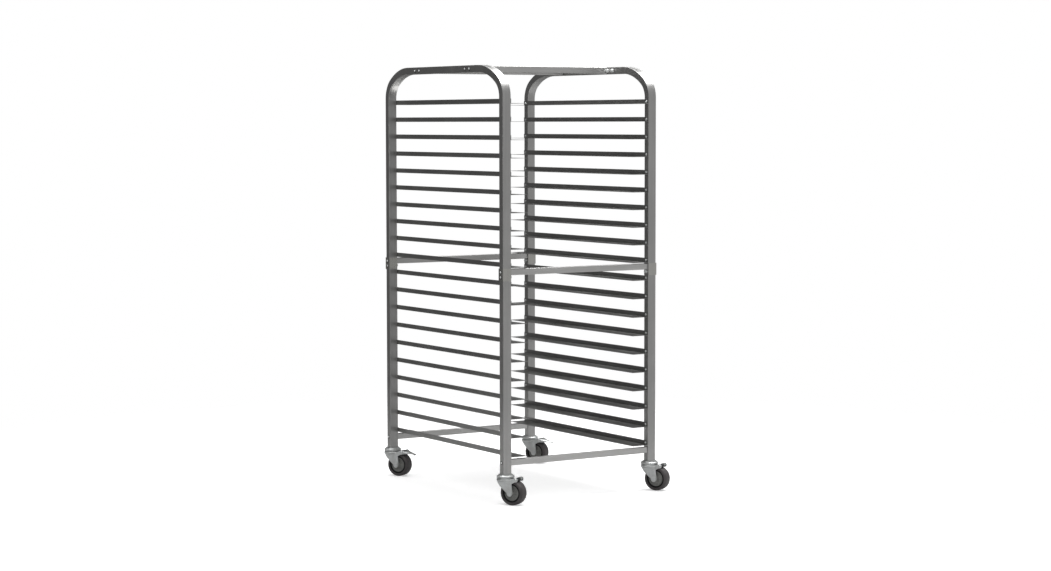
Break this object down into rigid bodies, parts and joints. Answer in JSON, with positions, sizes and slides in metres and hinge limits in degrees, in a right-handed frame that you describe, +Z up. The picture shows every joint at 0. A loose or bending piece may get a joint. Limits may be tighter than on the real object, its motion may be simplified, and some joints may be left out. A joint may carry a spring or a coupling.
{
  "type": "sheet pan rack",
  "caption": "Open knock-down sheet pan rack: two bent-tube side frames with wide angle slides, joined by cross bars, on swivel casters with foot brakes at the rear.",
  "frame": {"origin": "centre of the footprint between the four posts, on the floor", "axes": "+X to the right across the rack, +Y towards the back, +Z up; pans go in from -Y"},
  "size_m": [0.8066, 1.0492, 1.757],
  "materials": {
    "frame_tube": "satin stainless tube, brushed lengthwise",
    "cross_bar": "satin stainless tube",
    "slide_sheet": "satin stainless sheet",
    "joint_sleeve": "satin",
    "bright_fastener": "bright plated",
    "inner_steel": "mill",
    "insert_plastic": "moulded",
    "zinc_plate": "zinc plated pressed steel",
    "caster_hardware": "zinc plated",
    "hub_plastic": "moulded grey",
    "tyre_rubber": "moulded, slightly worn"
  },
  "bodies": {
    "root": {"left_upper_frame": "frame_tube", "right_upper_frame": "frame_tube", "left_front_leg": "frame_tube", "left_rear_leg": "frame_tube", "right_front_leg": "frame_tube", "right_rear_leg": "frame_tube", "leg_spigots": "inner_steel", "joint_sleeves": "joint_sleeve", "leg_inserts": "insert_plastic", "top_front_bar": "cross_bar", "top_rear_bar": "cross_bar", "middle_front_bar": "cross_bar", "middle_rear_bar": "cross_bar", "bottom_front_bar": "cross_bar", "bottom_rear_bar": "cross_bar", "bar_end_plugs": "inner_steel", "left_upper_slides": "slide_sheet", "left_lower_slides": "slide_sheet", "right_upper_slides": "slide_sheet", "right_lower_slides": "slide_sheet", "slide_rivets": "bright_fastener", "frame_bolts": "bright_fastener", "frame_nuts": "bright_fastener", "caster_stems": "zinc_plate", "swivel_races": "caster_hardware", "kingpin_nuts": "caster_hardware"},
    "left_front_swivel": {"left_front_fork": "zinc_plate", "left_front_axle_bolt": "caster_hardware", "left_front_axle_nut": "caster_hardware", "left_front_axle_sleeve": "caster_hardware", "left_front_cross_bolt": "caster_hardware"},
    "left_front_wheel": {"left_front_wheel_hub": "hub_plastic", "left_front_tyre": "tyre_rubber"},
    "right_front_swivel": {"right_front_fork": "zinc_plate", "right_front_axle_bolt": "caster_hardware", "right_front_axle_nut": "caster_hardware", "right_front_axle_sleeve": "caster_hardware", "right_front_cross_bolt": "caster_hardware"},
    "right_front_wheel": {"right_front_wheel_hub": "hub_plastic", "right_front_tyre": "tyre_rubber"},
    "left_rear_swivel": {"left_rear_fork": "zinc_plate", "left_rear_axle_bolt": "caster_hardware", "left_rear_axle_nut": "caster_hardware", "left_rear_axle_sleeve": "caster_hardware", "left_rear_cross_bolt": "caster_hardware"},
    "left_rear_wheel": {"left_rear_wheel_hub": "hub_plastic", "left_rear_tyre": "tyre_rubber"},
    "right_rear_swivel": {"right_rear_fork": "zinc_plate", "right_rear_axle_bolt": "caster_hardware", "right_rear_axle_nut": "caster_hardware", "right_rear_axle_sleeve": "caster_hardware", "right_rear_cross_bolt": "caster_hardware"},
    "right_rear_wheel": {"right_rear_wheel_hub": "hub_plastic", "right_rear_tyre": "tyre_rubber"},
    "left_rear_brake": {"left_rear_brake_pedal": "zinc_plate"},
    "right_rear_brake": {"right_rear_brake_pedal": "zinc_plate"}
  },
  "joints": [
    {"name": "left_front_swivel_turn", "type": "hinge", "parent": "root", "child": "left_front_swivel", "pos_m": [-0.352, -0.4655, 0.106], "axis": [0, 0, 1], "continuous": true},
    {"name": "left_front_wheel_spin", "type": "hinge", "parent": "left_front_swivel", "child": "left_front_wheel", "pos_m": [-0.334, -0.49668, 0.05], "axis": [0.866, 0.5, 0], "continuous": true},
    {"name": "right_front_swivel_turn", "type": "hinge", "parent": "root", "child": "right_front_swivel", "pos_m": [0.352, -0.4655, 0.106], "axis": [0, 0, 1], "continuous": true},
    {"name": "right_front_wheel_spin", "type": "hinge", "parent": "right_front_swivel", "child": "right_front_wheel", "pos_m": [0.37, -0.49668, 0.05], "axis": [0.866, 0.5, 0], "continuous": true},
    {"name": "left_rear_swivel_turn", "type": "hinge", "parent": "root", "child": "left_rear_swivel", "pos_m": [-0.352, 0.4655, 0.106], "axis": [0, 0, 1], "continuous": true},
    {"name": "left_rear_wheel_spin", "type": "hinge", "parent": "left_rear_swivel", "child": "left_rear_wheel", "pos_m": [-0.334, 0.43432, 0.05], "axis": [0.866, 0.5, 0], "continuous": true},
    {"name": "left_rear_brake_press", "type": "hinge", "parent": "left_rear_swivel", "child": "left_rear_brake", "pos_m": [-0.323, 0.41527, 0.104], "axis": [0.866, 0.5, 0], "range_deg": [0, 20], "stiffness_Nm_per_rad": 0.5},
    {"name": "right_rear_swivel_turn", "type": "hinge", "parent": "root", "child": "right_rear_swivel", "pos_m": [0.352, 0.4655, 0.106], "axis": [0, 0, 1], "continuous": true},
    {"name": "right_rear_wheel_spin", "type": "hinge", "parent": "right_rear_swivel", "child": "right_rear_wheel", "pos_m": [0.37, 0.43432, 0.05], "axis": [0.866, 0.5, 0], "continuous": true},
    {"name": "right_rear_brake_press", "type": "hinge", "parent": "right_rear_swivel", "child": "right_rear_brake", "pos_m": [0.381, 0.41527, 0.104], "axis": [0.866, 0.5, 0], "range_deg": [0, 20], "stiffness_Nm_per_rad": 0.5}
  ]
}
